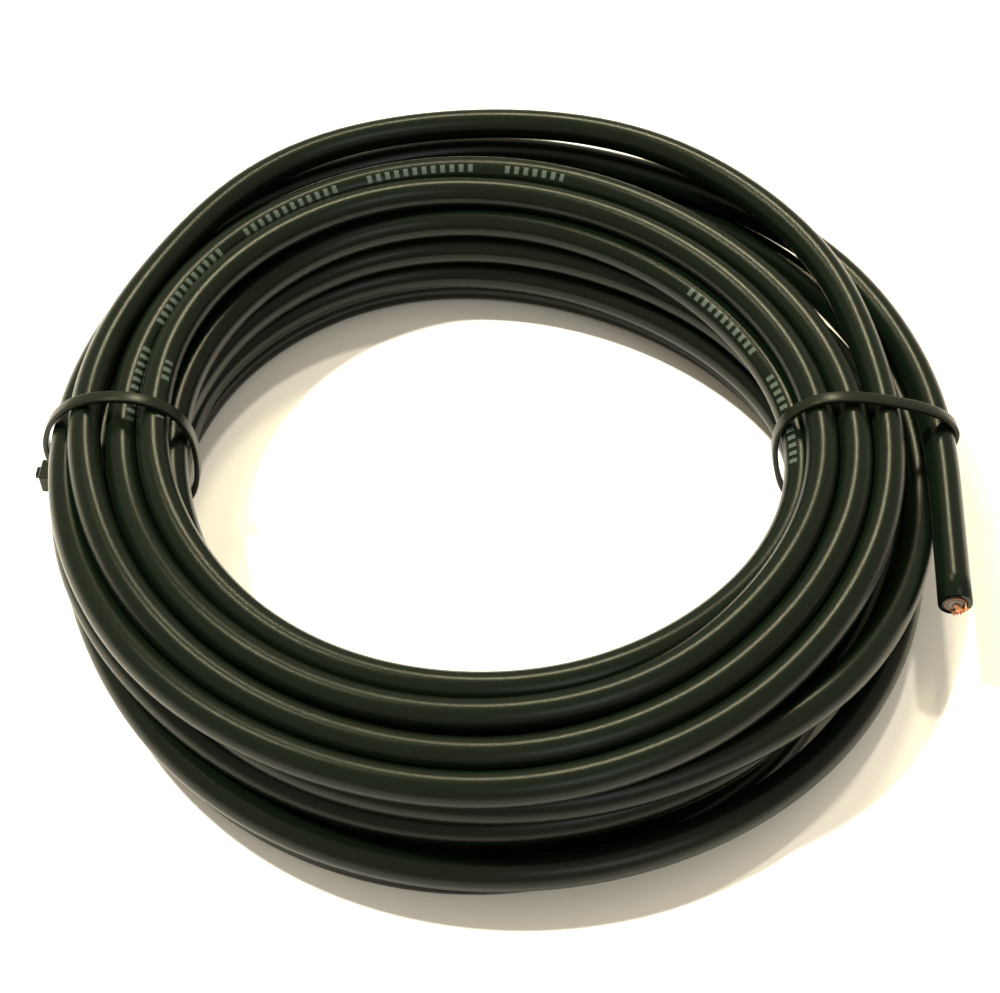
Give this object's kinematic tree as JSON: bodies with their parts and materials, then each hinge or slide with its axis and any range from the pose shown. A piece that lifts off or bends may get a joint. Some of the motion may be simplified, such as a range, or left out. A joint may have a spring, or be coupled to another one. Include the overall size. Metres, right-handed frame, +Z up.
{
  "type": "instrument cable",
  "caption": "Bulk instrument cable wound into a loose round coil and held by nylon cable ties, with plain cut ends.",
  "frame": {"origin": "centre of the coil's eye, on the surface that the coil lies on", "axes": "+Z up out of the surface; +X towards the cable tie beside the free end; -Y the way the free end points"},
  "size_m": [0.1873, 0.1772, 0.0309],
  "materials": {
    "jacket": "glossy, lightly handled",
    "shield": "bare copper braid",
    "conductive_sheath": "matt",
    "insulation": "waxy",
    "core": "bright copper strand",
    "tie": "satin moulded nylon"
  },
  "bodies": {
    "coil": {"cable_coil": "jacket", "free_end_jacket": "jacket", "free_end_shield": "shield", "free_end_conductive_sheath": "conductive_sheath", "free_end_insulation": "insulation", "free_end_core_strands": "core", "hidden_end_jacket": "jacket", "hidden_end_shield": "shield", "hidden_end_conductive_sheath": "conductive_sheath", "hidden_end_insulation": "insulation", "hidden_end_core_strands": "core", "left_cable_tie": "tie", "right_cable_tie": "tie"},
    "left_pawl": {"left_tie_pawl": "tie"},
    "right_pawl": {"right_tie_pawl": "tie"}
  },
  "joints": [
    {"name": "left_pawl_hinge", "type": "hinge", "parent": "coil", "child": "left_pawl", "pos_m": [-0.08913, 0.00467, 0.00944], "axis": [-0.0523, -0.9986, 0], "range_deg": [0, 12], "stiffness_Nm_per_rad": 0.02},
    {"name": "right_pawl_hinge", "type": "hinge", "parent": "coil", "child": "right_pawl", "pos_m": [0.08889, 0.00466, 0.00868], "axis": [-0.0523, 0.9986, 0], "range_deg": [0, 12], "stiffness_Nm_per_rad": 0.02}
  ]
}
